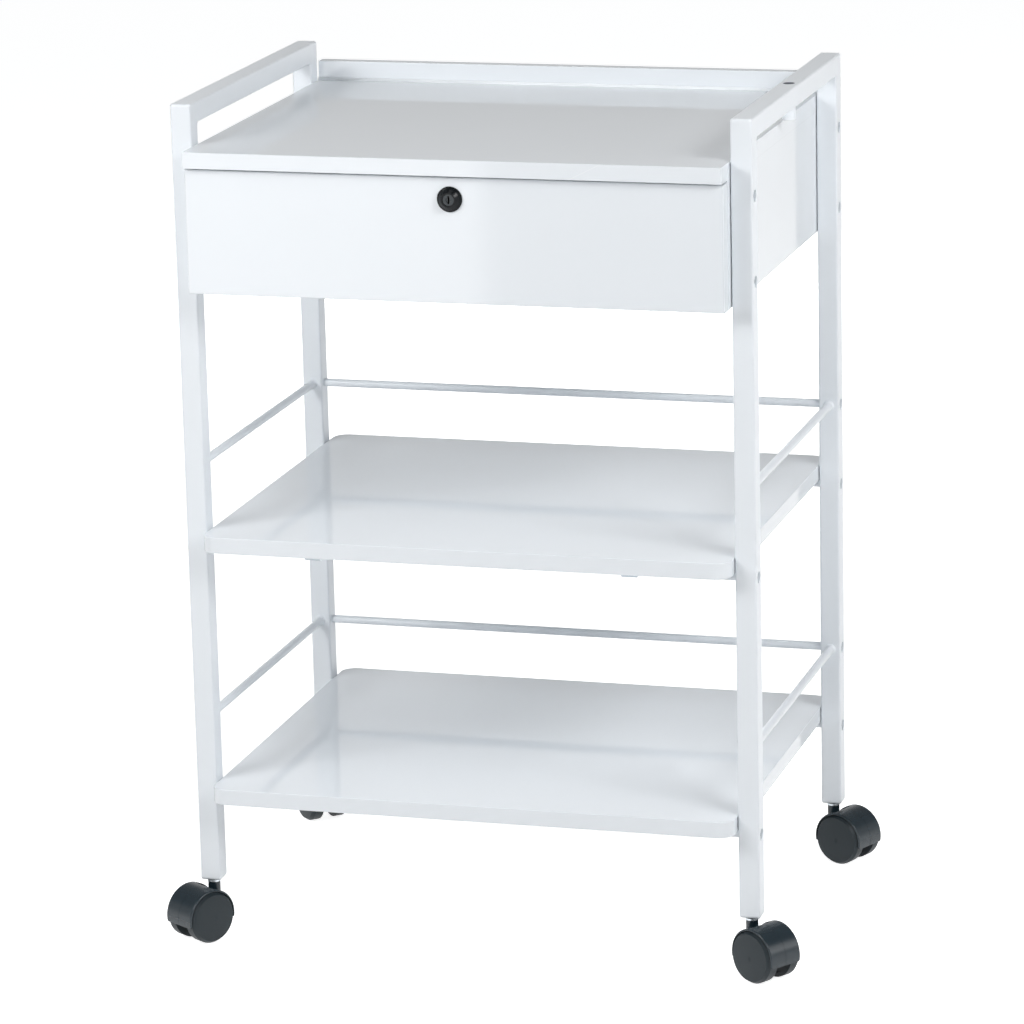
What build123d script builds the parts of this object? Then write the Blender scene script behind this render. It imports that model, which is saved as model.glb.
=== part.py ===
"""Esthetician cart: three boards and a locking drawer between two tube frames on twin-wheel casters.

Millimetres, +Z up, the front towards -Y. The origin is on the floor, under the middle of the frames.
"""
import os
from collections import namedtuple
from math import cos, radians, sin

from build123d import *

# Side frames, outside sizes
frame_width = 550.0
frame_depth = 374.0
frame_height = 752.0
tube = 20.0
tube_wall = 1.5
tube_round = 2.0
corner_round = 2.6
inner_corner_round = 3.0
foot_plate = 2.0

# Bars between the posts
bar_radius = 4.0
bar_rise = 60.7
bar_weld = 1.6

# Frame bolts, their access holes and the inserts in the case
bolt_radius = 2.5
bolt_tip_gap = 0.5
bolt_head_radius = 5.0
bolt_head_recess = 1.2
bolt_socket_radius = 1.9
bolt_socket_depth = 1.8
access_gap = 0.5
wall_hole_gap = 0.5
insert_wall = 1.7
insert_flange = 1.8
insert_depth = 12.0
case_bolt_drop = 17.0
case_bolt_rise = 23.0

# Lamp sleeve in the right rail
lamp_bore_radius = 5.3
lamp_sleeve_wall = 1.0
lamp_sleeve_length = 34.0
lamp_sleeve_floor = 1.5
lamp_sleeve_round = 0.9
lamp_y = 6.4

# Boards
side_gap = 0.7
tray_drop = 39.0
tray_thickness = 15.0
tray_front_reach = 31.0
tray_back_reach = 13.0
tray_corner = 1.5
upstand_height = 19.0
upstand_thickness = 12.5
upstand_rebate = 2.0
upstand_screw_inset = 38.0
mid_shelf_rise = 346.5
low_shelf_rise = 99.5
shelf_thickness = 15.5
shelf_reach = 22.5
shelf_corner = 15.0
edge_round = 0.8

# Saddle clips that hold the shelves to their rods
clip_width = 15.0
clip_metal = 2.2
clip_ear = 10.0
clip_ear_metal = 1.5
clip_inset = 101.0
rod_seat = 0.1

# Drawer case
case_height = 118.5
case_panel = 15.0
case_back_reach = 2.0
case_back_panel = 12.0
case_floor = 12.0
case_front_gap = 1.0
bracket_leg = 15.0
bracket_metal = 1.5
bracket_width = 16.0
bracket_inset = 67.0
bracket_screw_reach = 9.3

# Drawer
front_thickness = 15.0
front_setback = 6.0
front_top_gap = 2.0
drawer_wall = 12.0
drawer_floor = 6.0
drawer_floor_gap = 4.0
drawer_top_gap = 24.0
drawer_back_gap = 22.0
block = 12.0

# Runners
runner_space = 12.7
runner_metal = 1.3
runner_half_height = 17.5
runner_play = 0.6
runner_front_gap = 4.0
runner_back_gap = 19.0
runner_screw_inset = 45.0

# Lock
lock_drop = 19.9
bezel_radius = 11.8
bezel_rim = 1.2
bezel_step = 2.0
bezel_step_height = 3.0
bezel_lip = 1.2
bezel_mouth_gap = 0.4
bezel_height = 5.8
lock_wall = 2.7
lock_body_length = 20.0
core_radius = 5.3
core_sink = 1.0
core_tail = 1.5
key_slot_width = 1.6
key_slot_height = 7.4
key_slot_depth = 12.0
key_dish_radius = 2.5
key_dish_depth = 1.0
nut_wall = 4.0
nut_height = 3.4
cam_length = 19.0
cam_width = 8.0
cam_boss_radius = 5.6
cam_metal = 2.0
cam_square = 6.0
strike_metal = 1.5
strike_width = 28.0
strike_leg = 15.0
strike_screw_reach = 10.5
strike_bite = 4.8
strike_play = 1.2
strike_screw_x = 9.0

# Casters
wheel_radius = 25.0
wheel_side_gap = 0.8
wheel_tread_setback = 1.4
wheel_tread_width = 9.0
wheel_tread_round = 0.6
wheel_face_reach = 3.6
wheel_dome = 1.0
wheel_edge = 2.4
wheel_hub_radius = 8.0
wheel_recess_depth = 3.6
wheel_rim_thickness = 4.0
axle_radius = 3.0
axle_cover = 4.2
axle_end_gap = 0.3
caster_trail = 18.0
hood_gap = 0.5
hood_wall = 1.6
hood_half_width = 18.6
hood_edge = 1.2
hood_corner = 2.6
hood_lap_angle = 12.0
hood_seam_width = 0.3
hood_seam_depth = 0.15
web_half_width = 6.4
hub_radius = 9.0
neck_wall = 1.9
pocket_half_width = 12.5
pocket_reach = 13.0
pocket_depth = 8.8
stem_radius = 4.0
stem_in_hood = 20.0
stem_tip_gap = 4.0
stem_collar_wall = 2.2
stem_collar_height = 2.2
socket_wall = 1.6
socket_length = 28.0
socket_flange = 1.6
socket_flange_height = 1.0
neck_gap = 0.2
foot_rise = 5.2

# Wood screws and the cam's screw
board_screw_radius = 1.7
board_screw_head_radius = 3.2
board_screw_head_height = 2.2
board_screw_length = 11.0
runner_screw_head_radius = 3.0
screw_tip_cover = 2.8
cam_screw_radius = 1.5
cam_screw_head_radius = 3.6
cam_screw_head_height = 2.2
cam_screw_length = 8.0

# Fits
fit_gap = 0.05

Screw = namedtuple("Screw", "radius head_radius head_height length sunk")
bolt_length = tube_wall + side_gap + insert_depth - bolt_tip_gap
bolt_head_height = tube - tube_wall - bolt_head_recess
frame_bolt = Screw(bolt_radius, bolt_head_radius, bolt_head_height, bolt_length, False)
board_head = (board_screw_head_radius, board_screw_head_height)
board_screw = Screw(board_screw_radius, *board_head, board_screw_length, False)
upstand_screw = Screw(board_screw_radius, *board_head, tray_thickness + board_screw_length, False)
runner_screw_length = runner_metal + drawer_wall - screw_tip_cover
runner_head = (runner_screw_head_radius, runner_metal)
runner_screw = Screw(board_screw_radius, *runner_head, runner_screw_length, True)
cam_head = (cam_screw_head_radius, cam_screw_head_height)
cam_screw = Screw(cam_screw_radius, *cam_head, cam_screw_length, False)

# Radii that follow from a fit
access_radius = bolt_head_radius + access_gap
wall_hole_radius = bolt_radius + wall_hole_gap
insert_radius = bolt_radius + insert_wall
insert_flange_radius = insert_radius + insert_flange
socket_radius = stem_radius + socket_wall
socket_flange_radius = socket_radius + socket_flange
stem_collar_radius = stem_radius + stem_collar_wall
neck_radius = stem_radius + neck_wall
hood_inner_radius = wheel_radius + hood_gap
hood_radius = hood_inner_radius + hood_wall
lock_body_radius = core_radius + lock_wall
bezel_mouth_radius = core_radius + bezel_mouth_gap

# Places that follow from the sizes
caster_height = wheel_radius + hood_radius + foot_rise
frame_top = caster_height + frame_height
post_x = frame_width / 2 - tube / 2
post_y = frame_depth / 2 - tube / 2
inner_x = frame_width / 2 - tube
bolt_seat_x = inner_x + tube_wall
board_x = inner_x - side_gap

tray_top = frame_top - tray_drop
tray_under = tray_top - tray_thickness
tray_front = -frame_depth / 2 - tray_front_reach
tray_back = frame_depth / 2 + tray_back_reach
upstand_y = tray_back - upstand_thickness / 2

mid_shelf_top = caster_height + mid_shelf_rise
low_shelf_top = caster_height + low_shelf_rise
shelf_tops = {"mid": mid_shelf_top, "low": low_shelf_top}
shelf_depth = frame_depth + 2 * shelf_reach
bar_heights = [top + bar_rise for top in shelf_tops.values()]
rod_heights = [top - shelf_thickness - rod_seat - bar_radius for top in shelf_tops.values()]

case_under = tray_under - case_height
case_inner_x = board_x - case_panel
case_back = frame_depth / 2 + case_back_reach
case_inner_back = case_back - case_back_panel
case_bolt_heights = [tray_under - case_bolt_drop, case_under + case_bolt_rise]

front_face = tray_front + front_setback
front_back = front_face + front_thickness
front_top = tray_under - front_top_gap
case_front = front_back + case_front_gap
drawer_x = case_inner_x - runner_space
drawer_under = case_under + case_floor + drawer_floor_gap
drawer_side_under = drawer_under + drawer_floor
drawer_side_height = tray_under - drawer_top_gap - drawer_side_under
drawer_back = case_inner_back - drawer_back_gap
drawer_length = drawer_back - front_back
runner_front = case_front + runner_front_gap
runner_length = case_inner_back - runner_back_gap - runner_front
runner_y = runner_front + runner_length / 2
runner_z = drawer_side_under + drawer_side_height / 2

lock_z = front_top - lock_drop
lock_origin = (0, front_face, lock_z)
cam_front = lock_body_length + core_tail

neck_top = caster_height - socket_flange_height - stem_collar_height - neck_gap
wheel_inner_face = web_half_width + wheel_side_gap
wheel_tread_inner = wheel_inner_face + wheel_tread_setback
wheel_tread_outer = wheel_tread_inner + wheel_tread_width
wheel_outer_face = wheel_tread_outer + wheel_face_reach
axle_reach = wheel_outer_face - axle_cover
caster_turns = {"fl": -122.0, "fr": -33.0, "rl": 132.0, "rr": -24.0}
caster_signs = {"fl": (-1, -1), "fr": (1, -1), "rl": (-1, 1), "rr": (1, 1)}
sides = {"left": -1, "right": 1}

on_face = (Align.CENTER, Align.CENTER, Align.MIN)
below_face = (Align.CENTER, Align.CENTER, Align.MAX)

os.makedirs("parts", exist_ok=True)


def drive(places, screw, grow=0.0, mode=Mode.ADD):
    """Add one screw at each plane, or its hole; the plane is the head's seat, or its top if it is sunk."""
    with Locations(*places):
        Cylinder(screw.radius + grow, screw.length + grow, align=below_face, mode=mode)
        if screw.sunk:
            Cone(
                screw.radius + grow,
                screw.head_radius + grow,
                screw.head_height,
                align=below_face,
                mode=mode,
            )
        elif mode == Mode.ADD:
            Cylinder(screw.head_radius, screw.head_height, align=on_face)


def save(name, part):
    part.label = name
    export_step(part, f"parts/{name}.step")


def bolt_seats(sign):
    """Seats of the frame bolts of one side, on the inside of the tube's inner wall."""
    seats = []
    for y in (-post_y, post_y):
        heights = case_bolt_heights + rod_heights
        if y > 0:
            heights = heights + bar_heights
        seats += [Plane(origin=(sign * bolt_seat_x, y, z), z_dir=(sign, 0, 0)) for z in heights]
    return seats


def case_bolt_planes(sign):
    """The case bolts' places on the outer face of a case side."""
    places = [(y, z) for y in (-post_y, post_y) for z in case_bolt_heights]
    return [Plane(origin=(sign * board_x, y, z), z_dir=(sign, 0, 0)) for y, z in places]


# Side frames: a welded inverted U of square tube, its feet closed by plates
for side, sign in sides.items():
    with BuildPart() as frame:
        with BuildSketch(Plane.YZ.offset(sign * post_x)):
            with Locations((0, caster_height)):
                Rectangle(frame_depth, frame_height, align=(Align.CENTER, Align.MIN))
                Rectangle(
                    frame_depth - 2 * tube,
                    frame_height - tube,
                    align=(Align.CENTER, Align.MIN),
                    mode=Mode.SUBTRACT,
                )
        extrude(amount=tube / 2, both=True)
        fillet(frame.edges().filter_by(Axis.X).group_by(Axis.Z)[1], radius=inner_corner_round)
        cross_edges = frame.edges().filter_by(Axis.X).group_by(Axis.Z)
        fillet(cross_edges[0] + cross_edges[-1], radius=corner_round)
        side_faces = frame.faces().sort_by(Axis.X)
        fillet(side_faces[0].edges() + side_faces[-1].edges(), radius=tube_round)
        with BuildSketch(Plane.YZ.offset(sign * post_x)):
            with Locations((0, caster_height + foot_plate)):
                Rectangle(
                    frame_depth - 2 * tube_wall,
                    frame_height - tube_wall - foot_plate,
                    align=(Align.CENTER, Align.MIN),
                )
            with Locations((0, caster_height)):
                Rectangle(
                    frame_depth - 2 * tube + 2 * tube_wall,
                    frame_height - tube + tube_wall,
                    align=(Align.CENTER, Align.MIN),
                    mode=Mode.SUBTRACT,
                )
        extrude(amount=tube / 2 - tube_wall, both=True, mode=Mode.SUBTRACT)
        with Locations(*bolt_seats(sign)):
            Cylinder(wall_hole_radius, 2 * tube_wall, mode=Mode.SUBTRACT)
            Cylinder(access_radius, tube, align=on_face, mode=Mode.SUBTRACT)
        with Locations(*[(sign * post_x, y, caster_height) for y in (-post_y, post_y)]):
            Cylinder(socket_radius + fit_gap, 4 * foot_plate, mode=Mode.SUBTRACT)
        if side == "right":
            with Locations((post_x, lamp_y, frame_top)):
                sleeve_radius = lamp_bore_radius + lamp_sleeve_wall
                Cylinder(sleeve_radius + fit_gap, 2 * lamp_sleeve_length, mode=Mode.SUBTRACT)
    save(f"frame_{side}", frame.part)

# Lamp sleeve: a short closed tube, flush with the top of the right rail
with BuildPart() as lamp_sleeve:
    with Locations((post_x, lamp_y, frame_top)):
        Cylinder(lamp_bore_radius + lamp_sleeve_wall, lamp_sleeve_length, align=below_face)
        Cylinder(
            lamp_bore_radius,
            lamp_sleeve_length - lamp_sleeve_floor,
            align=below_face,
            mode=Mode.SUBTRACT,
        )
    fillet(lamp_sleeve.edges().group_by(Axis.Z)[0], radius=lamp_sleeve_round)
save("lamp_sleeve", lamp_sleeve.part)

# Side bars: two round bars welded between the posts of each frame
for side, sign in sides.items():
    with BuildPart() as side_bars:
        for z in bar_heights:
            span = frame_depth - 2 * tube
            with Locations(Plane(origin=(sign * post_x, 0, z), z_dir=(0, 1, 0))):
                Cylinder(bar_radius, span)
            ends = [Plane(origin=(sign * post_x, end * span / 2, z), z_dir=(0, -end, 0)) for end in (-1, 1)]
            with Locations(*ends):
                Cone(bar_radius + bar_weld, bar_radius, bar_weld, align=on_face)
    save(f"side_bars_{side}", side_bars.part)


def cross_bars(places):
    """Round bars from post to post, threaded at both ends for the frame bolts."""
    with BuildPart() as bars:
        with Locations(*[Plane(origin=(0, y, z), z_dir=(1, 0, 0)) for y, z in places]):
            Cylinder(bar_radius, 2 * inner_x)
        ends = [
            Plane(origin=(sign * inner_x, y, z), z_dir=(sign, 0, 0)) for y, z in places for sign in (-1, 1)
        ]
        with Locations(*ends):
            Cylinder(bolt_radius + fit_gap, bolt_length, align=below_face, mode=Mode.SUBTRACT)
    return bars.part


# Rear bars, and the rods that carry the two shelves
save("rear_bars", cross_bars([(post_y, z) for z in bar_heights]))
save("shelf_rods", cross_bars([(y, z) for y in (-post_y, post_y) for z in rod_heights]))

# Frame bolts: long heads that end just inside the access holes, with hexagon sockets
all_seats = bolt_seats(-1) + bolt_seats(1)
with BuildPart() as frame_bolts:
    drive(all_seats, frame_bolt)
    with BuildSketch(*[seat.offset(bolt_head_height) for seat in all_seats]):
        RegularPolygon(bolt_socket_radius, 6)
    extrude(amount=-bolt_socket_depth, mode=Mode.SUBTRACT)
save("frame_bolts", frame_bolts.part)

# Threaded inserts in the case sides; their flanges fill the gap to the posts
with BuildPart() as case_inserts:
    with Locations(*case_bolt_planes(-1), *case_bolt_planes(1)):
        Cylinder(insert_radius, insert_depth, align=below_face)
        Cylinder(insert_flange_radius, side_gap, align=on_face)
        Cylinder(bolt_radius + fit_gap, 3 * insert_depth, mode=Mode.SUBTRACT)
save("case_inserts", case_inserts.part)

# Screw places of the tray, the case and the strike
upstand_screw_step = (board_x - upstand_screw_inset) / 3
upstand_spots = [
    Plane(origin=(step * upstand_screw_step, upstand_y, tray_under), z_dir=(0, 0, -1))
    for step in (-3, -1, 1, 3)
]
bracket_y = post_y - bracket_inset
bracket_spots = [(sign, y) for sign in (-1, 1) for y in (-bracket_y, bracket_y)]
bracket_tray_spots = [
    Plane(
        origin=(sign * (case_inner_x - bracket_screw_reach), y, tray_under - bracket_metal),
        z_dir=(0, 0, -1),
    )
    for sign, y in bracket_spots
]
bracket_side_spots = [
    Plane(
        origin=(sign * (case_inner_x - bracket_metal), y, tray_under - bracket_screw_reach),
        z_dir=(-sign, 0, 0),
    )
    for sign, y in bracket_spots
]
strike_front = front_face + cam_front - strike_play - strike_metal
strike_spots = [
    Plane(origin=(x, strike_front + strike_screw_reach, tray_under - strike_metal), z_dir=(0, 0, -1))
    for x in (-strike_screw_x, strike_screw_x)
]
runner_screw_step = runner_length / 2 - runner_screw_inset
runner_rows = [runner_y + step * runner_screw_step for step in (-1, 0, 1)]
runner_case_spots = [
    Plane(origin=(sign * (case_inner_x - runner_metal), y, runner_z), z_dir=(-sign, 0, 0))
    for sign in (-1, 1)
    for y in runner_rows
]
runner_drawer_spots = [
    Plane(origin=(sign * (drawer_x + runner_metal), y, runner_z), z_dir=(sign, 0, 0))
    for sign in (-1, 1)
    for y in runner_rows
]

# Top tray board, with square front corners and a rebate along the back for the upstand
with BuildPart() as top_tray:
    with BuildSketch(Plane.XY.offset(tray_under)):
        with Locations((0, (tray_front + tray_back) / 2)):
            RectangleRounded(2 * board_x, tray_back - tray_front, tray_corner)
    extrude(amount=tray_thickness)
    fillet(top_tray.edges().group_by(Axis.Z)[-1], radius=edge_round)
    with Locations((0, tray_back, tray_top)):
        Box(
            2 * frame_width,
            2 * (upstand_thickness + fit_gap),
            2 * upstand_rebate,
            mode=Mode.SUBTRACT,
        )
    drive(upstand_spots, upstand_screw, fit_gap, Mode.SUBTRACT)
    drive(bracket_tray_spots + strike_spots, board_screw, fit_gap, Mode.SUBTRACT)
save("top_tray", top_tray.part)

# Upstand along the back edge of the tray, behind the posts
with BuildPart() as tray_upstand:
    with BuildSketch(Plane.XY.offset(tray_top - upstand_rebate)):
        with Locations((0, upstand_y)):
            Rectangle(2 * board_x, upstand_thickness)
    extrude(amount=upstand_rebate + upstand_height)
    upstand_edges = tray_upstand.edges()
    fillet(upstand_edges.group_by(Axis.Z)[-1] + upstand_edges.filter_by(Axis.Z), radius=edge_round)
    drive(upstand_spots, upstand_screw, fit_gap, Mode.SUBTRACT)
save("tray_upstand", tray_upstand.part)

# Middle and low shelves
clip_x = board_x - clip_inset
for name, top in shelf_tops.items():
    rod_z = top - shelf_thickness - rod_seat - bar_radius
    clip_places = [(x, y) for x in (-clip_x, clip_x) for y in (-post_y, post_y)]
    clip_outer = bar_radius + fit_gap + clip_metal
    clip_ear_middle = clip_outer + clip_ear / 2
    shelf_under = top - shelf_thickness
    clip_spots = [
        Plane(origin=(x, y + end * clip_ear_middle, shelf_under - clip_ear_metal), z_dir=(0, 0, -1))
        for x, y in clip_places
        for end in (-1, 1)
    ]
    with BuildPart() as shelf:
        with BuildSketch(Plane.XY.offset(shelf_under)):
            RectangleRounded(2 * board_x, shelf_depth, shelf_corner)
        extrude(amount=shelf_thickness)
        fillet(shelf.edges().group_by(Axis.Z)[-1] + shelf.edges().group_by(Axis.Z)[0], radius=edge_round)
        drive(clip_spots, board_screw, fit_gap, Mode.SUBTRACT)
    save(f"{name}_shelf", shelf.part)

    with BuildPart() as clips:
        for x, y in clip_places:
            saddle_rise = shelf_under - rod_z
            with BuildSketch(Plane(origin=(x, y, rod_z), x_dir=(0, 1, 0), z_dir=(1, 0, 0))):
                Circle(clip_outer)
                Rectangle(2 * clip_outer, saddle_rise, align=(Align.CENTER, Align.MIN))
                with Locations((0, saddle_rise)):
                    Rectangle(
                        2 * clip_outer,
                        2 * clip_outer,
                        align=(Align.CENTER, Align.MIN),
                        mode=Mode.SUBTRACT,
                    )
                    Rectangle(
                        2 * (clip_outer + clip_ear),
                        clip_ear_metal,
                        align=(Align.CENTER, Align.MAX),
                    )
                Circle(bar_radius + fit_gap, mode=Mode.SUBTRACT)
                Rectangle(
                    2 * (bar_radius + fit_gap),
                    saddle_rise,
                    align=(Align.CENTER, Align.MIN),
                    mode=Mode.SUBTRACT,
                )
            extrude(amount=clip_width / 2, both=True)
        drive(clip_spots, board_screw, fit_gap, Mode.SUBTRACT)
    save(f"{name}_shelf_clips", clips.part)

    with BuildPart() as clip_screws:
        drive(clip_spots, board_screw)
    save(f"{name}_shelf_screws", clip_screws.part)

# Drawer case: two sides under the tray, a back and a floor
for side, sign in sides.items():
    side_planes = [plane for plane in bracket_side_spots if plane.origin.X * sign > 0]
    runner_planes = [plane for plane in runner_case_spots if plane.origin.X * sign > 0]
    with BuildPart() as case_side:
        with BuildSketch(Plane.XY.offset(case_under)):
            with Locations((sign * (board_x - case_panel / 2), (case_front + case_back) / 2)):
                Rectangle(case_panel, case_back - case_front)
        extrude(amount=case_height)
        with Locations(*case_bolt_planes(sign)):
            Cylinder(insert_radius + fit_gap, 2 * insert_depth + fit_gap, mode=Mode.SUBTRACT)
        drive(side_planes, board_screw, fit_gap, Mode.SUBTRACT)
        drive(runner_planes, runner_screw, fit_gap, Mode.SUBTRACT)
    save(f"case_side_{side}", case_side.part)

with BuildPart() as case_back_board:
    with BuildSketch(Plane.XY.offset(case_under + case_floor)):
        with Locations((0, case_back)):
            Rectangle(2 * case_inner_x, case_back_panel, align=(Align.CENTER, Align.MAX))
    extrude(amount=case_height - case_floor)
save("case_back", case_back_board.part)

with BuildPart() as case_floor_board:
    with BuildSketch(Plane.XY.offset(case_under)):
        with Locations((0, (case_front + case_back) / 2)):
            Rectangle(2 * case_inner_x, case_back - case_front)
    extrude(amount=case_floor)
save("case_floor", case_floor_board.part)

# Angle brackets between the case sides and the tray
with BuildPart() as case_brackets:
    for sign, y in bracket_spots:
        corner = Plane(origin=(sign * case_inner_x, y, tray_under), x_dir=(-sign, 0, 0), z_dir=(0, sign, 0))
        with BuildSketch(corner):
            Rectangle(bracket_leg, bracket_metal, align=(Align.MIN, Align.MAX))
            Rectangle(bracket_metal, bracket_leg, align=(Align.MIN, Align.MAX))
        extrude(amount=bracket_width / 2, both=True)
    drive(bracket_tray_spots + bracket_side_spots, board_screw, fit_gap, Mode.SUBTRACT)
save("case_brackets", case_brackets.part)

# Strike: the lip under the tray that the lock's cam turns up behind
strike_drop = front_top_gap + lock_drop - cam_length + strike_bite
with BuildPart() as strike:
    with Locations((0, strike_front, tray_under)):
        Box(strike_width, strike_metal, strike_drop, align=(Align.CENTER, Align.MIN, Align.MAX))
        Box(strike_width, strike_leg, strike_metal, align=(Align.CENTER, Align.MIN, Align.MAX))
    drive(strike_spots, board_screw, fit_gap, Mode.SUBTRACT)
save("strike", strike.part)

with BuildPart() as case_screws:
    drive(upstand_spots, upstand_screw)
    drive(bracket_tray_spots + bracket_side_spots + strike_spots, board_screw)
    drive(runner_case_spots, runner_screw)
save("case_screws", case_screws.part)


def runner_member(side, web_at, tip_at, half_height, screw_planes):
    """A channel of the runner; places across it are measured inwards from the case side."""
    sign = sides[side]
    towards_tip = 1 if tip_at > web_at else -1
    middle = Plane(
        origin=(sign * case_inner_x, runner_y, runner_z),
        x_dir=(-sign, 0, 0),
        z_dir=(0, sign, 0),
    )
    with BuildPart() as member:
        with BuildSketch(middle):
            with Locations(((web_at + tip_at) / 2, 0)):
                Rectangle(abs(tip_at - web_at), 2 * half_height)
            with Locations(((web_at + tip_at) / 2 + towards_tip * runner_metal, 0)):
                Rectangle(
                    abs(tip_at - web_at),
                    2 * (half_height - runner_metal),
                    mode=Mode.SUBTRACT,
                )
        extrude(amount=runner_length / 2, both=True)
        if screw_planes:
            planes = [plane for plane in screw_planes if plane.origin.X * sign > 0]
            drive(planes, runner_screw, fit_gap, Mode.SUBTRACT)
    return member.part


# Runners: an outer channel on the case, an inner one on the drawer and a middle one that rides between
middle_half_height = runner_half_height - runner_metal - runner_play
inner_half_height = middle_half_height - runner_metal - runner_play
middle_web = runner_metal + runner_play
inner_tip = middle_web + runner_metal + runner_play
for side in sides:
    outer_tip = runner_space - runner_metal - runner_play
    outer = runner_member(side, 0, outer_tip, runner_half_height, runner_case_spots)
    middle = runner_member(side, middle_web, outer_tip, middle_half_height, [])
    inner = runner_member(side, runner_space, inner_tip, inner_half_height, runner_drawer_spots)
    save(f"runner_outer_{side}", outer)
    save(f"runner_middle_{side}", middle)
    save(f"runner_inner_{side}", inner)

# Drawer front, over the full width of the case
with BuildPart() as drawer_front:
    with BuildSketch(Plane.XY.offset(case_under)):
        with Locations((0, front_face)):
            Rectangle(2 * board_x, front_thickness, align=(Align.CENTER, Align.MIN))
    extrude(amount=front_top - case_under)
    fillet(drawer_front.faces().sort_by(Axis.Y)[0].edges(), radius=edge_round)
    with Locations(Plane(origin=lock_origin, z_dir=(0, -1, 0))):
        Cylinder(lock_body_radius + fit_gap, 3 * front_thickness, mode=Mode.SUBTRACT)
save("drawer_front", drawer_front.part)

# Drawer box behind the front
for side, sign in sides.items():
    planes = [plane for plane in runner_drawer_spots if plane.origin.X * sign > 0]
    with BuildPart() as drawer_side:
        with BuildSketch(Plane.XY.offset(drawer_side_under)):
            with Locations((sign * (drawer_x - drawer_wall / 2), front_back)):
                Rectangle(drawer_wall, drawer_length, align=(Align.CENTER, Align.MIN))
        extrude(amount=drawer_side_height)
        drive(planes, runner_screw, fit_gap, Mode.SUBTRACT)
    save(f"drawer_side_{side}", drawer_side.part)

inside_x = drawer_x - drawer_wall
with BuildPart() as drawer_back_board:
    with BuildSketch(Plane.XY.offset(drawer_side_under)):
        with Locations((0, drawer_back)):
            Rectangle(2 * inside_x, drawer_wall, align=(Align.CENTER, Align.MAX))
    extrude(amount=drawer_side_height)
save("drawer_back", drawer_back_board.part)

with BuildPart() as drawer_floor_board:
    with BuildSketch(Plane.XY.offset(drawer_under)):
        with Locations((0, front_back)):
            Rectangle(2 * drawer_x, drawer_length, align=(Align.CENTER, Align.MIN))
    extrude(amount=drawer_floor)
save("drawer_floor", drawer_floor_board.part)

with BuildPart() as drawer_blocks:
    with BuildSketch(Plane.XY.offset(drawer_side_under)):
        with Locations((-inside_x + block / 2, front_back), (inside_x - block / 2, front_back)):
            Rectangle(block, block, align=(Align.CENTER, Align.MIN))
    extrude(amount=drawer_side_height)
save("drawer_blocks", drawer_blocks.part)

with BuildPart() as drawer_screws:
    drive(runner_drawer_spots, runner_screw)
save("drawer_screws", drawer_screws.part)

# Cylinder lock: places along it are measured forwards from the drawer's front face
lock_section = Plane(origin=lock_origin, x_dir=(1, 0, 0), z_dir=(0, 0, -1))
lock_axis = Axis(lock_origin, (0, -1, 0))
lock_face = Plane(origin=lock_origin, x_dir=(1, 0, 0), z_dir=(0, -1, 0))
with BuildPart() as lock_housing:
    with BuildSketch(lock_section):
        with BuildLine():
            Polyline(
                (core_radius + fit_gap, -lock_body_length),
                (lock_body_radius, -lock_body_length),
                (lock_body_radius, 0),
                (bezel_radius, 0),
                (bezel_radius, bezel_rim),
                (bezel_radius - bezel_step, bezel_step_height - bezel_rim / 2),
                (bezel_radius - bezel_step, bezel_step_height),
                (bezel_mouth_radius + bezel_lip, bezel_height),
                (bezel_mouth_radius, bezel_height),
                (core_radius + fit_gap, bezel_height - core_sink),
                close=True,
            )
        make_face()
    revolve(axis=lock_axis)
save("lock_housing", lock_housing.part)

with BuildPart() as lock_nut:
    with BuildSketch(lock_face.offset(-front_thickness)):
        RegularPolygon(lock_body_radius + nut_wall, 6)
        Circle(lock_body_radius + fit_gap, mode=Mode.SUBTRACT)
    extrude(amount=-nut_height)
save("lock_nut", lock_nut.part)

core_front = bezel_height - core_sink
cam_screw_spot = [lock_face.offset(-cam_front - cam_metal).rotated((180, 0, 0))]
with BuildPart() as lock_core:
    with BuildSketch(lock_face.offset(core_front)):
        Circle(core_radius)
    extrude(amount=-core_front - cam_front)
    with BuildSketch(lock_face.offset(-cam_front)):
        Rectangle(cam_square, cam_square)
    extrude(amount=fit_gap - cam_metal)
    with BuildSketch(lock_face.offset(core_front)):
        Rectangle(key_slot_width, key_slot_height)
    extrude(amount=-key_slot_depth, mode=Mode.SUBTRACT)
    with BuildSketch(lock_face.offset(core_front)):
        Circle(key_dish_radius)
    extrude(amount=-key_dish_depth, mode=Mode.SUBTRACT)
    drive(cam_screw_spot, cam_screw, fit_gap, Mode.SUBTRACT)
save("lock_core", lock_core.part)

# Cam: at rest it points to the left; a quarter turn brings it up behind the strike
with BuildPart() as lock_cam:
    with BuildSketch(lock_face.offset(-cam_front)):
        Circle(cam_boss_radius)
        Rectangle(cam_length, cam_width, align=(Align.MAX, Align.CENTER))
        Rectangle(cam_square + 2 * fit_gap, cam_square + 2 * fit_gap, mode=Mode.SUBTRACT)
    extrude(amount=-cam_metal)
save("lock_cam", lock_cam.part)

with BuildPart() as lock_cam_screw:
    drive(cam_screw_spot, cam_screw)
save("lock_cam_screw", lock_cam_screw.part)

# Caster sockets and stems, in the feet of the posts
foot_places = [(sx * post_x, sy * post_y, caster_height) for sx, sy in caster_signs.values()]
with BuildPart() as caster_sockets:
    with Locations(*foot_places):
        Cylinder(socket_radius, socket_length, align=on_face)
        Cylinder(socket_flange_radius, socket_flange_height, align=below_face)
        Cylinder(stem_radius + fit_gap, 3 * socket_length, mode=Mode.SUBTRACT)
save("caster_sockets", caster_sockets.part)

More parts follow.
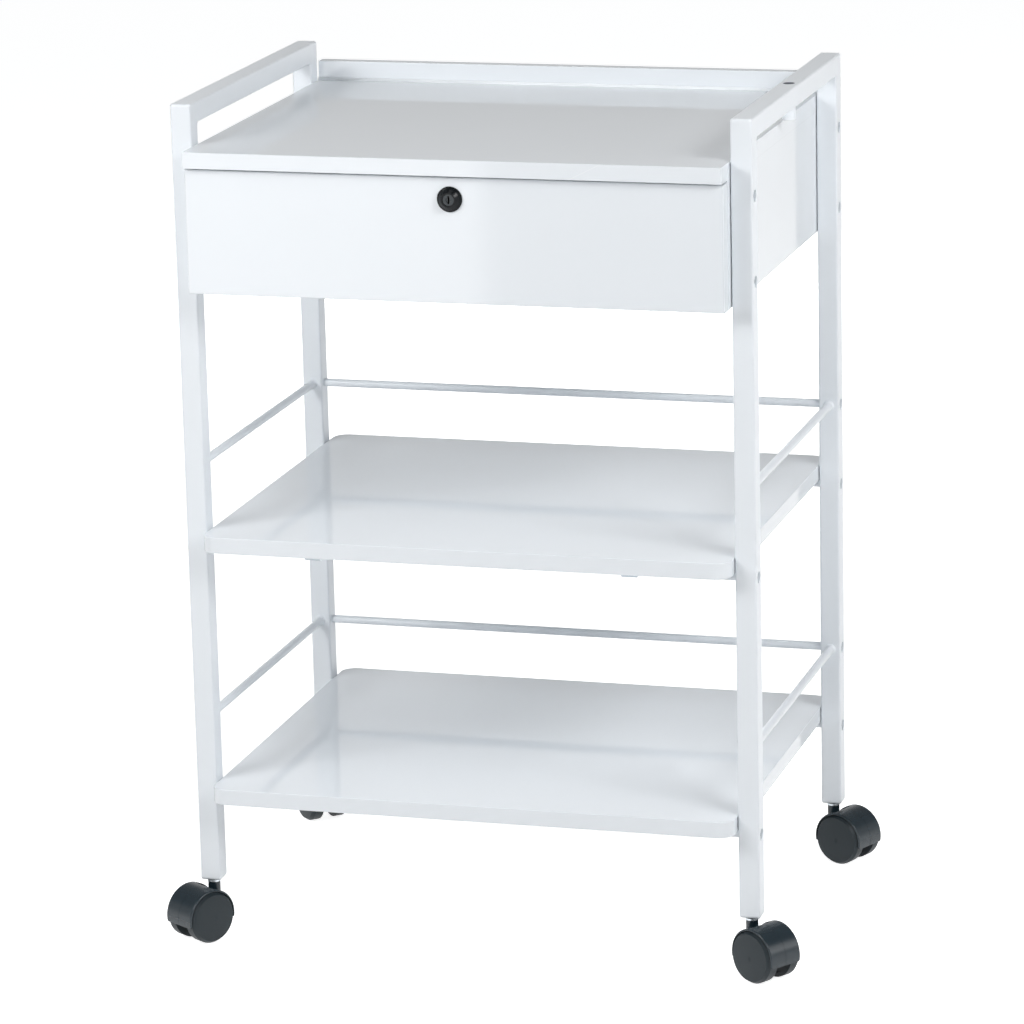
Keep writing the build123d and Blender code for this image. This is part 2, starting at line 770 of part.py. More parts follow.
with BuildPart() as caster_stems:
    with Locations(*[(x, y, z - socket_flange_height) for x, y, z in foot_places]):
        Cylinder(stem_radius, socket_flange_height + socket_length - stem_tip_gap, align=on_face)
        Cylinder(stem_collar_radius, stem_collar_height, align=below_face)
        Cylinder(stem_radius, stem_collar_height + neck_gap + stem_in_hood, align=below_face)
save("caster_stems", caster_stems.part)


def caster_plane(name):
    """The plane between a caster's wheels: origin at the axle's middle, x away from the stem."""
    sx, sy = caster_signs[name]
    turn = radians(caster_turns[name])
    ahead = (cos(turn), sin(turn), 0)
    axle_middle = (
        sx * post_x + caster_trail * cos(turn),
        sy * post_y + caster_trail * sin(turn),
        wheel_radius,
    )
    return Plane(origin=axle_middle, x_dir=ahead, z_dir=(sin(turn), -cos(turn), 0))


def caster_hood(name):
    """Hood over both wheels, with the web that holds the axle and the neck that turns on the stem."""
    plane = caster_plane(name)
    lap = radians(hood_lap_angle)
    far = 2 * hood_radius
    neck_base = Plane(
        origin=plane.origin - plane.x_dir * caster_trail,
        x_dir=plane.x_dir,
        z_dir=(0, 0, 1),
    )
    hood_ends = []
    for end in (-1, 1):
        out = plane.x_dir * (end * cos(lap)) - Vector(0, 0, sin(lap))
        hood_ends.append(
            Plane(origin=plane.origin + out * hood_radius, x_dir=plane.z_dir * -end, z_dir=out)
        )
    with BuildPart() as hood:
        with BuildSketch(plane):
            Circle(hood_radius)
            Circle(hood_inner_radius, mode=Mode.SUBTRACT)
        extrude(amount=hood_half_width, both=True)
        round_edges = hood.edges().filter_by(GeomType.CIRCLE).sort_by(SortBy.RADIUS)[-2:]
        fillet(round_edges, radius=hood_edge)
        with BuildSketch(plane):
            Circle(hood_radius + hood_wall)
            Circle(hood_radius - hood_seam_depth, mode=Mode.SUBTRACT)
        extrude(amount=hood_seam_width / 2, both=True, mode=Mode.SUBTRACT)
        with BuildSketch(plane):
            Circle(hood_radius - hood_wall / 2)
        extrude(amount=web_half_width, both=True)
        with BuildSketch(plane):
            with BuildLine():
                Polyline(
                    (0, 0),
                    (-far * cos(lap), -far * sin(lap)),
                    (-far, -far),
                    (far, -far),
                    (far * cos(lap), -far * sin(lap)),
                    close=True,
                )
            make_face()
        extrude(amount=2 * hood_half_width, both=True, mode=Mode.SUBTRACT)
        with BuildSketch(*hood_ends):
            Rectangle(2 * hood_half_width, hood_corner, align=(Align.CENTER, Align.MIN))
            RectangleRounded(
                2 * hood_half_width,
                4 * hood_corner,
                hood_corner,
                align=(Align.CENTER, Align.MIN),
                mode=Mode.SUBTRACT,
            )
        extrude(amount=-2 * hood_wall, mode=Mode.SUBTRACT)
        with BuildSketch(plane):
            Circle(hub_radius)
        extrude(amount=web_half_width, both=True)
        with Locations(neck_base.offset(hood_radius - pocket_depth)):
            Box(
                2 * pocket_reach,
                2 * pocket_half_width,
                hood_radius,
                align=on_face,
                mode=Mode.SUBTRACT,
            )
        with Locations(neck_base):
            Cylinder(neck_radius, neck_top - wheel_radius, align=on_face)
        with Locations(neck_base.offset(neck_top - wheel_radius)):
            Cylinder(stem_radius + fit_gap, stem_in_hood + neck_gap, align=below_face, mode=Mode.SUBTRACT)
        with BuildSketch(plane):
            Circle(axle_radius + fit_gap)
        extrude(amount=2 * hood_half_width, both=True, mode=Mode.SUBTRACT)
    return hood.part


def caster_axle(name):
    with BuildPart() as axle:
        with BuildSketch(caster_plane(name)):
            Circle(axle_radius)
        extrude(amount=axle_reach, both=True)
    return axle.part


def caster_wheel(name, hand):
    """One wheel; the section runs outwards along the axle and up the radius."""
    plane = caster_plane(name)
    outwards = plane.z_dir * hand
    section = Plane(origin=plane.origin, x_dir=outwards, z_dir=outwards.cross(Vector(0, 0, 1)))
    bore = axle_radius + 2 * fit_gap
    inner_rim = wheel_radius - wheel_rim_thickness
    shoulder = wheel_inner_face + wheel_recess_depth
    with BuildPart() as wheel:
        with BuildSketch(section):
            with BuildLine():
                Polyline(
                    (wheel_outer_face + wheel_dome, 0),
                    (axle_reach + axle_end_gap, 0),
                    (axle_reach + axle_end_gap, bore),
                    (wheel_inner_face, bore),
                    (wheel_inner_face, wheel_hub_radius),
                    (shoulder, wheel_hub_radius),
                    (shoulder, inner_rim),
                    (wheel_tread_inner, inner_rim),
                    (wheel_tread_inner, wheel_radius),
                    (wheel_tread_outer, wheel_radius),
                )
                Line(
                    (wheel_tread_outer, wheel_radius),
                    (wheel_outer_face, wheel_radius - wheel_edge),
                )
                TangentArc(
                    (wheel_outer_face + wheel_dome, 0),
                    (wheel_outer_face, wheel_radius - wheel_edge),
                    tangent=(0, 1),
                )
            make_face()
        revolve(axis=Axis(plane.origin, outwards))
        tread_edges = wheel.edges().filter_by(GeomType.CIRCLE).sort_by(SortBy.RADIUS)[-2:]
        fillet(tread_edges, radius=wheel_tread_round)
    return wheel.part


# Casters: a hood, an axle and two wheels at each post
for name in caster_signs:
    save(f"caster_hood_{name}", caster_hood(name))
    save(f"caster_axle_{name}", caster_axle(name))
    save(f"caster_wheel_a_{name}", caster_wheel(name, 1))
    save(f"caster_wheel_b_{name}", caster_wheel(name, -1))
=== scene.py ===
from math import cos, radians, sin

import bmesh
import bpy
from mathutils import Matrix, Vector


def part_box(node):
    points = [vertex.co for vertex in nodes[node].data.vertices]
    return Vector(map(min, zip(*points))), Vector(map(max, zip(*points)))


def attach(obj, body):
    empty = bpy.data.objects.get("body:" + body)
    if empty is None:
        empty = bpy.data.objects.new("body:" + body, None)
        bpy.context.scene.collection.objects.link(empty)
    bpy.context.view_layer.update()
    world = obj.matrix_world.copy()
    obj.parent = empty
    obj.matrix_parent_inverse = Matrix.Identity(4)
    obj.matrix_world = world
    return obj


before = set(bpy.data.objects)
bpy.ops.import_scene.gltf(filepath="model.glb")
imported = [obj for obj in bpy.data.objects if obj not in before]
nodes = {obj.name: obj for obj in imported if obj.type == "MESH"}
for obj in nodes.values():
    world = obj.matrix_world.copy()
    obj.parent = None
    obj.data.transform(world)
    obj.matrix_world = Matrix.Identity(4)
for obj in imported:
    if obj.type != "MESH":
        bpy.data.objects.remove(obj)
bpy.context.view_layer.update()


# Side frames, bars and lamp sleeve: square and round steel tube, welded and ground, then coated in one go.
# The coating is a smooth gloss white powder that levels out with a faint orange peel.

def new_group(name, inputs, outputs):
    group = bpy.data.node_groups.new(name, "ShaderNodeTree")
    for label, kind, value in inputs:
        socket = group.interface.new_socket(name=label, in_out="INPUT", socket_type=kind)
        socket.default_value = value
    for label, kind in outputs:
        group.interface.new_socket(name=label, in_out="OUTPUT", socket_type=kind)
    group.nodes.new("NodeGroupInput").name = "in"
    group.nodes.new("NodeGroupOutput").name = "out"
    return group


def add(tree, kind, links=None, **settings):
    """A node with its settings; links gives each input's source or plain value, by name or number."""
    node = tree.nodes.new(kind)
    for name, value in settings.items():
        setattr(node, name, value)
    for key, source in (links or {}).items():
        if isinstance(source, bpy.types.NodeSocket):
            tree.links.new(source, node.inputs[key])
        else:
            node.inputs[key].default_value = source
    return node


def maths(tree, operation, *sources):
    return add(tree, "ShaderNodeMath", dict(enumerate(sources)), operation=operation).outputs[0]


def coat_grain():
    """Fine peel and slow drift of a sprayed, rolled or moulded surface: its colour, gloss and height."""
    tree = new_group(
        "coat_grain",
        [
            ("Color", "NodeSocketColor", (0.9, 0.9, 0.9, 1)),
            ("Shade", "NodeSocketFloat", 0.02),
            ("Peel Size", "NodeSocketFloat", 0.002),
            ("Drift Size", "NodeSocketFloat", 0.05),
            ("Roughness", "NodeSocketFloat", 0.3),
            ("Roughness Spread", "NodeSocketFloat", 0.05),
        ],
        [
            ("Color", "NodeSocketColor"),
            ("Roughness", "NodeSocketFloat"),
            ("Height", "NodeSocketFloat"),
        ],
    )
    given = tree.nodes["in"].outputs
    place = add(tree, "ShaderNodeTexCoord").outputs["Object"]
    peel = add(
        tree,
        "ShaderNodeTexNoise",
        {"Vector": place, "Scale": maths(tree, "DIVIDE", 1.0, given["Peel Size"]), "Detail": 2.0},
    ).outputs["Fac"]
    drift = add(
        tree,
        "ShaderNodeTexNoise",
        {"Vector": place, "Scale": maths(tree, "DIVIDE", 1.0, given["Drift Size"]), "Detail": 3.0},
    ).outputs["Fac"]
    shade = maths(tree, "MULTIPLY", given["Shade"], maths(tree, "SUBTRACT", drift, 0.5))
    color = add(
        tree,
        "ShaderNodeHueSaturation",
        {"Color": given["Color"], "Value": maths(tree, "ADD", 1.0, maths(tree, "MULTIPLY", shade, 2.0))},
    ).outputs["Color"]
    gloss = maths(
        tree,
        "ADD",
        given["Roughness"],
        maths(tree, "MULTIPLY", given["Roughness Spread"], maths(tree, "SUBTRACT", drift, 0.5)),
    )
    height = maths(tree, "ADD", peel, maths(tree, "MULTIPLY", drift, 0.4))
    out = tree.nodes["out"].inputs
    tree.links.new(color, out["Color"])
    tree.links.new(gloss, out["Roughness"])
    tree.links.new(height, out["Height"])
    return tree


grain = coat_grain()


def coated(name, color, peel, drift, roughness, spread, shade, bump, metallic=0.0, ior=1.5):
    """A material whose colour, gloss and bump come from the coat grain, with sizes in metres."""
    material = bpy.data.materials.new(name)
    material.use_nodes = True
    tree = material.node_tree
    surface = tree.nodes["Principled BSDF"]
    surface.inputs["Metallic"].default_value = metallic
    surface.inputs["IOR"].default_value = ior
    values = {
        "Color": (*color, 1),
        "Shade": shade,
        "Peel Size": peel,
        "Drift Size": drift,
        "Roughness": roughness,
        "Roughness Spread": spread,
    }
    coat = add(tree, "ShaderNodeGroup", values, node_tree=grain)
    coat.name = "coat"
    rise = add(tree, "ShaderNodeBump", {"Height": coat.outputs["Height"], "Strength": 1.0, "Distance": bump})
    rise.name = "rise"
    tree.links.new(coat.outputs["Color"], surface.inputs["Base Color"])
    tree.links.new(coat.outputs["Roughness"], surface.inputs["Roughness"])
    tree.links.new(rise.outputs["Normal"], surface.inputs["Normal"])
    return material


def finish(material, slot, *names):
    for name in names:
        nodes[name].data.materials.clear()
        nodes[name].data.materials.append(material)


def powder_coat(name):
    return coated(
        name,
        color=(0.865, 0.90, 0.935),
        peel=0.0025,
        drift=0.06,
        roughness=0.34,
        spread=0.06,
        shade=0.012,
        bump=0.00002,
    )


enamel = powder_coat("white_enamel")
finish(enamel, "white_enamel", "frame_left", "frame_right")
finish(enamel, "white_enamel", "side_bars_left", "side_bars_right", "rear_bars", "shelf_rods")


# Lamp sleeve: a short tube with a closed end, welded into the right rail and coated with it.
# Its bore is coloured a dark grey: painted shade down the hole.

sleeve = powder_coat("lamp_sleeve_enamel")
sleeve_tree = sleeve.node_tree
# The bore's dark grey is painted shade, laid over the coat inside the hole.
bore_painted_shade = (0.16, 0.175, 0.20)
sleeve_low, sleeve_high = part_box("lamp_sleeve")
sleeve_wall = 0.0007
bore_radius = (sleeve_high[0] - sleeve_low[0]) / 2 - sleeve_wall
bore_offset = add(
    sleeve_tree,
    "ShaderNodeVectorMath",
    {
        0: add(sleeve_tree, "ShaderNodeTexCoord").outputs["Object"],
        1: [(low + high) / 2 for low, high in zip(sleeve_low, sleeve_high)],
    },
    operation="SUBTRACT",
).outputs["Vector"]
bore_reach = add(
    sleeve_tree,
    "ShaderNodeVectorMath",
    {0: bore_offset, 1: (1, 1, 0)},
    operation="MULTIPLY",
).outputs["Vector"]
bore_distance = add(sleeve_tree, "ShaderNodeVectorMath", {0: bore_reach}, operation="LENGTH").outputs["Value"]
above_floor = maths(
    sleeve_tree,
    "GREATER_THAN",
    add(sleeve_tree, "ShaderNodeSeparateXYZ", {"Vector": bore_offset}).outputs["Z"],
    (sleeve_low[2] - sleeve_high[2]) / 2 + sleeve_wall,
)
in_bore = maths(
    sleeve_tree, "MULTIPLY", maths(sleeve_tree, "LESS_THAN", bore_distance, bore_radius), above_floor
)
bore_shade_mix = add(
    sleeve_tree,
    "ShaderNodeMix",
    {"Factor": in_bore, "A": sleeve_tree.nodes["coat"].outputs["Color"], "B": (*bore_painted_shade, 1)},
    data_type="RGBA",
)
sleeve_tree.links.new(bore_shade_mix.outputs["Result"], sleeve_tree.nodes["Principled BSDF"].inputs["Base Color"])
finish(sleeve, "white_enamel", "lamp_sleeve")


# Frame bolts and case inserts: long-headed hexagon-socket bolts, put in through the outer faces of the posts.
# They and the turned steel inserts are bright zinc plated: bluish, with a fine cloudy bloom.

def zinc_bloom():
    """The small crystals of a bright zinc plating: a value that changes from one to the next."""
    given = [("Crystal Size", "NodeSocketFloat", 0.001)]
    tree = new_group("zinc_bloom", given, [("Bloom", "NodeSocketFloat")])
    place = add(tree, "ShaderNodeTexCoord").outputs["Object"]
    scale = maths(tree, "DIVIDE", 1.0, tree.nodes["in"].outputs["Crystal Size"])
    crystals = add(tree, "ShaderNodeTexVoronoi", {"Vector": place, "Scale": scale})
    tree.links.new(crystals.outputs["Distance"], tree.nodes["out"].inputs["Bloom"])
    return tree


zinc = coated(
    "bright_zinc",
    color=(0.62, 0.665, 0.70),
    peel=0.0012,
    drift=0.012,
    roughness=0.24,
    spread=0.12,
    shade=0.06,
    bump=0.00001,
    metallic=1.0,
)
zinc_tree = zinc.node_tree
bloom_spread = 0.10
bloom = add(zinc_tree, "ShaderNodeGroup", node_tree=zinc_bloom()).outputs["Bloom"]
plain_gloss = zinc_tree.nodes["coat"].outputs["Roughness"]
bloom_gloss = maths(zinc_tree, "MULTIPLY_ADD", bloom, bloom_spread, plain_gloss)
zinc_tree.links.new(bloom_gloss, zinc_tree.nodes["Principled BSDF"].inputs["Roughness"])
finish(zinc, "zinc_steel", "frame_bolts", "case_inserts")


# Tray, upstand and shelves: board faced on both sides in glossy white, with an edge band glued round it.
# The glue line shows as a hair line on the faces, and where the ends of the tray's band meet, a scarf
# joint crosses its front edge. A thin bead of white sealant fills the corner at the foot of the upstand,
# its white set lighter than the board's as a painted highlight along that foot.

glue_color = (0.62, 0.64, 0.66)
glue_strength = 0.35
band_thickness = 0.001


def faced(name):
    return coated(
        name,
        color=(0.855, 0.89, 0.925),
        peel=0.0009,
        drift=0.12,
        roughness=0.06,
        spread=0.02,
        shade=0.012,
        bump=0.000003,
    )


def band_edge():
    """A hair line just inside the edge of a rectangle with round corners; places are from its middle."""
    tree = new_group(
        "band_edge",
        [
            ("Across", "NodeSocketFloat", 0.0),
            ("Along", "NodeSocketFloat", 0.0),
            ("Half Across", "NodeSocketFloat", 0.2),
            ("Half Along", "NodeSocketFloat", 0.2),
            ("Corner", "NodeSocketFloat", 0.01),
            ("Inset", "NodeSocketFloat", 0.001),
            ("Line Width", "NodeSocketFloat", 0.0003),
        ],
        [("Line", "NodeSocketFloat")],
    )
    given = tree.nodes["in"].outputs
    past = []
    for place, half in (("Across", "Half Across"), ("Along", "Half Along")):
        straight = maths(tree, "SUBTRACT", given[half], given["Corner"])
        past.append(maths(tree, "SUBTRACT", maths(tree, "ABSOLUTE", given[place]), straight))
    outside = [maths(tree, "MAXIMUM", value, 0.0) for value in past]
    squares = [maths(tree, "MULTIPLY", value, value) for value in outside]
    from_corner = maths(tree, "SQRT", maths(tree, "ADD", *squares))
    from_side = maths(tree, "MINIMUM", maths(tree, "MAXIMUM", *past), 0.0)
    inset = maths(tree, "SUBTRACT", given["Corner"], maths(tree, "ADD", from_corner, from_side))
    away = maths(tree, "ABSOLUTE", maths(tree, "SUBTRACT", inset, given["Inset"]))
    share = maths(tree, "MINIMUM", maths(tree, "DIVIDE", away, given["Line Width"]), 1.0)
    tree.links.new(maths(tree, "SUBTRACT", 1.0, share), tree.nodes["out"].inputs["Line"])
    return tree


band_line = band_edge()


def draw_line(material, line, color, strength):
    """Lay a line over a coated material: it changes the colour and sinks a little."""
    tree = material.node_tree
    surface = tree.nodes["Principled BSDF"]
    under = surface.inputs["Base Color"].links[0].from_socket
    over = add(
        tree,
        "ShaderNodeMix",
        {"Factor": maths(tree, "MULTIPLY", line, strength), "A": under, "B": (*color, 1)},
        data_type="RGBA",
    )
    tree.links.new(over.outputs["Result"], surface.inputs["Base Color"])
    rise = tree.nodes["rise"]
    height = rise.inputs["Height"].links[0].from_socket
    tree.links.new(maths(tree, "SUBTRACT", height, line), rise.inputs["Height"])


def banded_board(name, across, along, corner):
    """The board's own material, with the glue line of its edge band; across and along are the face's axes."""
    material = faced(f"board_{name}")
    tree = material.node_tree
    low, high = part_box(name)
    place = add(tree, "ShaderNodeSeparateXYZ", {"Vector": add(tree, "ShaderNodeTexCoord").outputs["Object"]})
    links = {
        "Across": maths(tree, "SUBTRACT", place.outputs[across], (low[across] + high[across]) / 2),
        "Along": maths(tree, "SUBTRACT", place.outputs[along], (low[along] + high[along]) / 2),
        "Half Across": (high[across] - low[across]) / 2,
        "Half Along": (high[along] - low[along]) / 2,
        "Corner": corner,
        "Inset": band_thickness,
    }
    line = add(tree, "ShaderNodeGroup", links, node_tree=band_line)
    draw_line(material, line.outputs["Line"], glue_color, glue_strength)
    return material


tray_corner = 0.0015
tray_board = banded_board("top_tray", 0, 1, tray_corner)
tray_tree = tray_board.node_tree
tray_low, tray_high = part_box("top_tray")
scarf_x = 0.128
scarf_turn = radians(26.7)
scarf_width = 0.00035
scarf_color = (0.97, 0.99, 1.0)
scarf_strength = 0.7
tray_place = add(
    tray_tree, "ShaderNodeSeparateXYZ", {"Vector": add(tray_tree, "ShaderNodeTexCoord").outputs["Object"]}
).outputs
scarf_rise = maths(tray_tree, "SUBTRACT", tray_place["Z"], (tray_low[2] + tray_high[2]) / 2)
scarf_run = maths(tray_tree, "SUBTRACT", tray_place["X"], scarf_x)
scarf_away = maths(
    tray_tree,
    "ABSOLUTE",
    maths(
        tray_tree,
        "SUBTRACT",
        maths(tray_tree, "MULTIPLY", scarf_rise, cos(scarf_turn)),
        maths(tray_tree, "MULTIPLY", scarf_run, sin(scarf_turn)),
    ),
)
scarf_share = maths(tray_tree, "MINIMUM", maths(tray_tree, "DIVIDE", scarf_away, scarf_width), 1.0)
on_front = maths(tray_tree, "LESS_THAN", tray_place["Y"], tray_low[1] + band_thickness)
scarf = maths(tray_tree, "MULTIPLY", maths(tray_tree, "SUBTRACT", 1.0, scarf_share), on_front)
draw_line(tray_board, scarf, scarf_color, scarf_strength)
finish(tray_board, "white_board", "top_tray")

plain_board = faced("white_board")
finish(plain_board, "white_board", "tray_upstand")
bead_leg = 0.0028
bead_steps = 6
upstand_low, upstand_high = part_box("tray_upstand")
bead_profile = [(0.0, 0.0), (-bead_leg, 0.0)]
for step in range(1, bead_steps):
    part_turn = radians(90) * step / bead_steps
    bead_profile.append((-bead_leg * cos(part_turn), bead_leg * sin(part_turn)))
bead_profile.append((0.0, bead_leg))
bead_mesh = bmesh.new()
bead_ends = []
for end_x in (upstand_low[0], upstand_high[0]):
    bead_ends.append(
        [bead_mesh.verts.new((end_x, upstand_low[1] + y, tray_high[2] + z)) for y, z in bead_profile]
    )
for near in range(len(bead_profile)):
    far = (near + 1) % len(bead_profile)
    bead_mesh.faces.new((bead_ends[0][near], bead_ends[0][far], bead_ends[1][far], bead_ends[1][near]))
bead_mesh.faces.new(bead_ends[0][::-1])
bead_mesh.faces.new(bead_ends[1])
bmesh.ops.recalc_face_normals(bead_mesh, faces=bead_mesh.faces)
bead_data = bpy.data.meshes.new("upstand_bead")
bead_mesh.to_mesh(bead_data)
bead_mesh.free()
bead_data.shade_smooth()
bead = bpy.data.objects.new("upstand_bead", bead_data)
bpy.context.scene.collection.objects.link(bead)
# The bead is real sealant, but its white is lighter than the board's: a painted highlight along the foot.
sealant_and_highlight = coated(
    "sealant_bead_and_highlight",
    color=(0.90, 0.93, 0.955),
    peel=0.002,
    drift=0.05,
    roughness=0.30,
    spread=0.08,
    shade=0.01,
    bump=0.00003,
)
bead_data.materials.append(sealant_and_highlight)
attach(bead, "cart_frame")

shelf_corner = 0.015
for shelf in ("mid_shelf", "low_shelf"):
    finish(banded_board(shelf, 0, 1, shelf_corner), "white_board", shelf)


# Saddle clips and their screws: steel straps pressed into a half ring, two for each shelf rod, laid over the
# rods from below and screwed up into the shelves. Both are bright zinc plated.

finish(zinc, "zinc_steel", "mid_shelf_clips", "mid_shelf_screws", "low_shelf_clips", "low_shelf_screws")


# Drawer case: two banded side boards hung under the tray on angle brackets, with a back and a floor between.
# The boards are the same glossy white as the tray; brackets, screws and the lock's strike are zinc plated.

square_corner = 0.0
for side in ("case_side_left", "case_side_right"):
    finish(banded_board(side, 1, 2, square_corner), "white_board", side)
finish(plain_board, "white_board", "case_back", "case_floor")
finish(zinc, "zinc_steel", "case_brackets", "strike", "case_screws")


# Drawer and runners: a banded front, screwed from behind to a box of thinner white board.
# The box hangs on three-part ball-bearing runners, rolled from zinc-plated steel strip and screwed on.

finish(banded_board("drawer_front", 0, 2, square_corner), "white_board", "drawer_front")
finish(plain_board, "white_board", "drawer_side_left", "drawer_side_right", "drawer_back")
finish(plain_board, "white_board", "drawer_floor", "drawer_blocks")
for side in ("left", "right"):
    finish(zinc, "zinc_steel", f"runner_outer_{side}", f"runner_middle_{side}", f"runner_inner_{side}")
finish(zinc, "zinc_steel", "drawer_screws")


# Lock: a die-cast zinc barrel with a stepped bezel, lacquered black, and a turning core with a satin face.
# It is put in from the front and held by a nut behind it; the cam is screwed to the core's end.

lock_black = coated(
    "lock_black",
    color=(0.003, 0.0045, 0.006),
    peel=0.0008,
    drift=0.01,
    roughness=0.25,
    spread=0.05,
    shade=0.1,
    bump=0.000004,
    ior=1.30,
)
core_black = coated(
    "core_black",
    color=(0.018, 0.025, 0.030),
    peel=0.0005,
    drift=0.004,
    roughness=0.26,
    spread=0.08,
    shade=0.1,
    bump=0.000006,
)
finish(lock_black, "black_lock", "lock_housing")
finish(core_black, "black_lock", "lock_core")
finish(zinc, "zinc_steel", "lock_nut", "lock_cam", "lock_cam_screw")


# Casters: a moulded nylon hood over two moulded wheels on a steel axle, turning on a plated stem.
# The stem snaps into a black nylon socket in the foot of the post. The hoods are glossier than the wheels.

hood_nylon = coated(
    "hood_nylon",
    color=(0.013, 0.025, 0.034),
    peel=0.0007,
    drift=0.02,
    roughness=0.25,
    spread=0.03,
    shade=0.05,
    bump=0.000012,
)
wheel_nylon = coated(
    "wheel_nylon",
    color=(0.004, 0.0115, 0.0165),
    peel=0.0006,
    drift=0.02,
    roughness=0.50,
    spread=0.06,
    shade=0.06,
    bump=0.00003,
    ior=1.44,
)
for corner in ("fl", "fr", "rl", "rr"):
    finish(hood_nylon, "black_nylon", f"caster_hood_{corner}")
    finish(wheel_nylon, "black_nylon", f"caster_wheel_a_{corner}", f"caster_wheel_b_{corner}")
    finish(zinc, "zinc_steel", f"caster_axle_{corner}")
finish(wheel_nylon, "black_nylon", "caster_sockets")
finish(zinc, "zinc_steel", "caster_stems")


# Studio: a plain pale floor that keeps the cart's shadow, with white walls all round it.
# Higher up come a duller stretch, a lit band and a dim ceiling, which the tops of the boards reflect.

floor_reach = 30
floor_back = 60
floor_corners = [
    (-floor_reach, -floor_reach, 0),
    (floor_reach, -floor_reach, 0),
    (floor_reach, floor_back, 0),
    (-floor_reach, floor_back, 0),
]
floor_mesh = bpy.data.meshes.new("floor")
floor_mesh.from_pydata(floor_corners, [], [(0, 1, 2, 3)])
floor = bpy.data.objects.new("floor", floor_mesh)
bpy.context.scene.collection.objects.link(floor)


def seen_plainly(tree):
    """1 for what the eye, a reflection or glass sees, 0 for light that falls on the cart."""
    path = add(tree, "ShaderNodeLightPath").outputs
    seen = maths(tree, "MAXIMUM", path["Is Camera Ray"], path["Is Glossy Ray"])
    return maths(tree, "MAXIMUM", seen, path["Is Transmission Ray"])


floor_glow = 0.86
floor_white = coated(
    "pale_floor",
    color=(0.80, 0.80, 0.80),
    peel=0.004,
    drift=0.4,
    roughness=0.9,
    spread=0.05,
    shade=0.01,
    bump=0.00001,
)
floor_tree = floor_white.node_tree
floor_surface = floor_tree.nodes["Principled BSDF"]
floor_surface.inputs["Specular IOR Level"].default_value = 0.0
floor_surface.inputs["Emission Color"].default_value = (1, 1, 1, 1)
floor_tree.links.new(
    maths(floor_tree, "MULTIPLY", seen_plainly(floor_tree), floor_glow),
    floor_surface.inputs["Emission Strength"],
)
floor_mesh.materials.append(floor_white)

world = bpy.data.worlds.new("studio")
world.use_nodes = True
bpy.context.scene.world = world
sky_level = 0.15
sky = world.node_tree.nodes["Background"]
sky_tint = (0.93, 0.97, 1.0)
seen_height = add(
    world.node_tree,
    "ShaderNodeSeparateXYZ",
    {"Vector": add(world.node_tree, "ShaderNodeTexCoord").outputs["Generated"]},
).outputs["Z"]
seen_ramp = add(world.node_tree, "ShaderNodeValToRGB", {"Fac": seen_height})
# Each step is a height in degrees above the horizon and how bright the surroundings are seen there
seen_steps = [(0, 1.0), (6, 1.0), (9, 0.58), (12, 0.6), (15, 0.82), (18, 0.85), (25, 0.3), (60, 0.22)]
seen_stops = seen_ramp.color_ramp.elements
while len(seen_stops) < len(seen_steps):
    seen_stops.new(0.5)
for stop, (height_angle, level_seen) in zip(seen_stops, seen_steps):
    stop.position = sin(radians(height_angle))
    stop.color = (level_seen, level_seen, level_seen, 1)
seen_level = seen_ramp.outputs["Color"]
sky_mix = add(
    world.node_tree,
    "ShaderNodeMix",
    {
        "Factor": seen_plainly(world.node_tree),
        "A": (*[part * sky_level for part in sky_tint], 1),
        "B": seen_level,
    },
    data_type="RGBA",
)
world.node_tree.links.new(sky_mix.outputs["Result"], sky.inputs["Color"])


# Lamps: soft boxes, the strongest two high at the front left and the front right.
# Weaker ones in front, at the right and above fill the shadows, a low one shines in the left half of the
# drawer front, and three behind light the back, seen in no reflection so the boards don't mirror them.

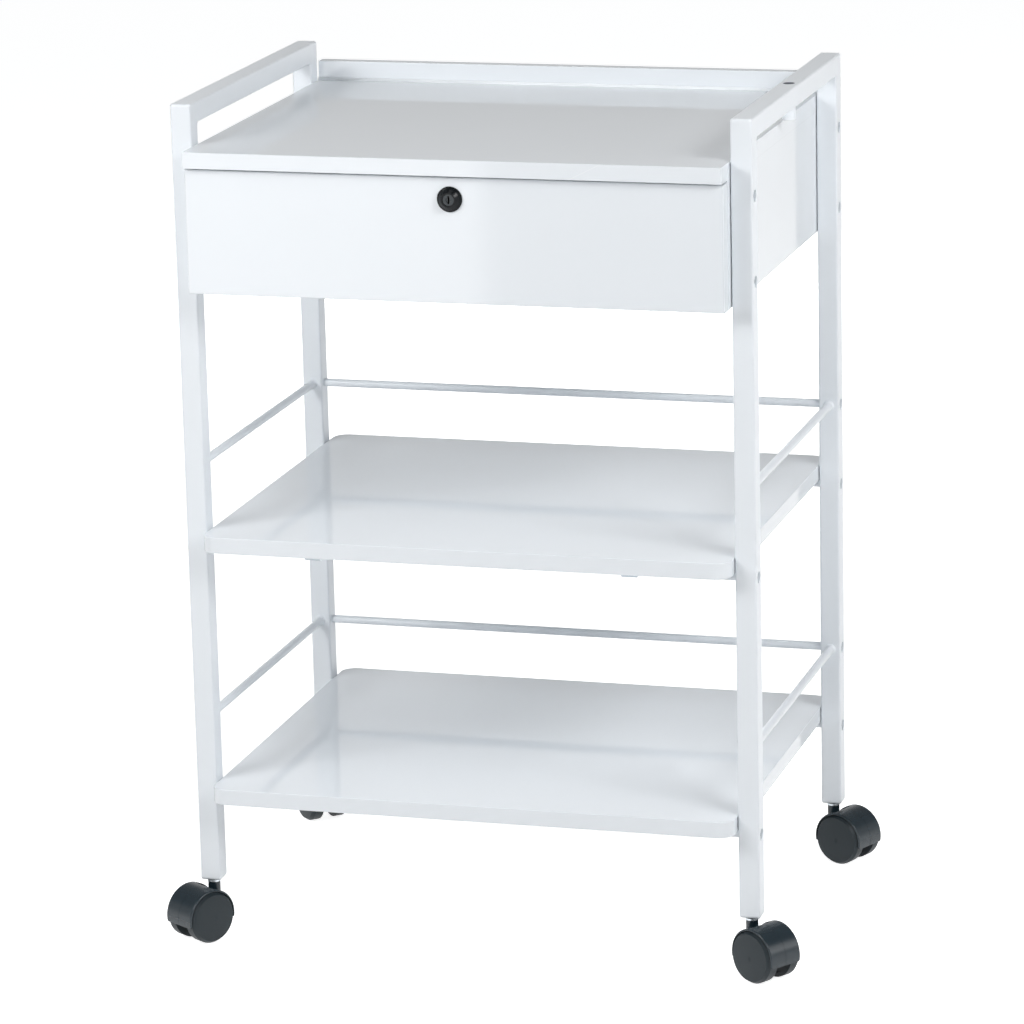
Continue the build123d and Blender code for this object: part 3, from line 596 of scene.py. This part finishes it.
def soft_box(name, place, target, width, height, watts, mirrored=True):
    """A lamp with a lit face of width by height at place, turned to the target."""
    light = bpy.data.lights.new(name, "AREA")
    light.shape = "RECTANGLE"
    light.size = width
    light.size_y = height
    light.energy = watts
    lamp = bpy.data.objects.new(name, light)
    facing = (Vector(target) - Vector(place)).to_track_quat("-Z", "Y")
    lamp.matrix_world = Matrix.Translation(place) @ facing.to_matrix().to_4x4()
    lamp.visible_camera = False
    lamp.visible_glossy = mirrored
    bpy.context.scene.collection.objects.link(lamp)


soft_box("left_box", (-1.2, -1.6, 1.6), (0, 0, 0.75), width=1.0, height=0.8, watts=23.5)
soft_box("front_box", (1.0, -4.4, 1.25), (0, 0, 0.5), width=2.4, height=1.8, watts=4)
soft_box("right_box", (2.2, -0.2, 0.9), (0, 0, 0.5), width=1.2, height=1.0, watts=8.5)
soft_box("high_right_box", (1.8, -1.2, 2.0), (0, 0, 0.5), width=1.0, height=0.8, watts=26.5)
soft_box("top_box", (0.2, -0.6, 2.8), (0, 0, 0.5), width=1.2, height=0.7, watts=4)
soft_box("low_left_box", (-0.935, -2.4, 0.275), (-0.935, 0, 0.275), width=0.63, height=0.45, watts=1.8)
soft_box("back_left_box", (-3.0, 2.6, 0.9), (0, 0, 0.45), width=1.8, height=1.4, watts=22, mirrored=False)
soft_box("back_right_box", (2.6, 3.2, 0.9), (0, 0, 0.45), width=1.8, height=1.4, watts=9, mirrored=False)
soft_box("back_box", (-0.8, 3.2, 0.6), (0, 0, 0.5), width=1.4, height=0.6, watts=30, mirrored=False)


# Camera: a long lens, a little to the right of the cart and above it, as the photograph was taken.
# Its place and turn were solved from straight edges of the cart in the photograph.

camera_place = (1.2723, -4.3828, 1.5654)
camera_data = bpy.data.cameras.new("camera")
camera_data.lens = 172.2
camera_data.sensor_width = 36
camera_data.clip_end = 200
camera = bpy.data.objects.new("camera", camera_data)
yaw, pitch, roll = radians(16.312), radians(-14.473), radians(-1.353)
ahead = Vector((-sin(yaw) * cos(pitch), cos(yaw) * cos(pitch), sin(pitch)))
level = ahead.cross(Vector((0, 0, 1))).normalized()
upright = level.cross(ahead)
right = level * cos(roll) + upright * sin(roll)
up = upright * cos(roll) - level * sin(roll)
turn = Matrix((right, up, -ahead)).transposed()
camera.matrix_world = Matrix.Translation(camera_place) @ turn.to_4x4()
bpy.context.scene.collection.objects.link(camera)
bpy.context.scene.camera = camera
bpy.context.scene.view_settings.view_transform = "Standard"
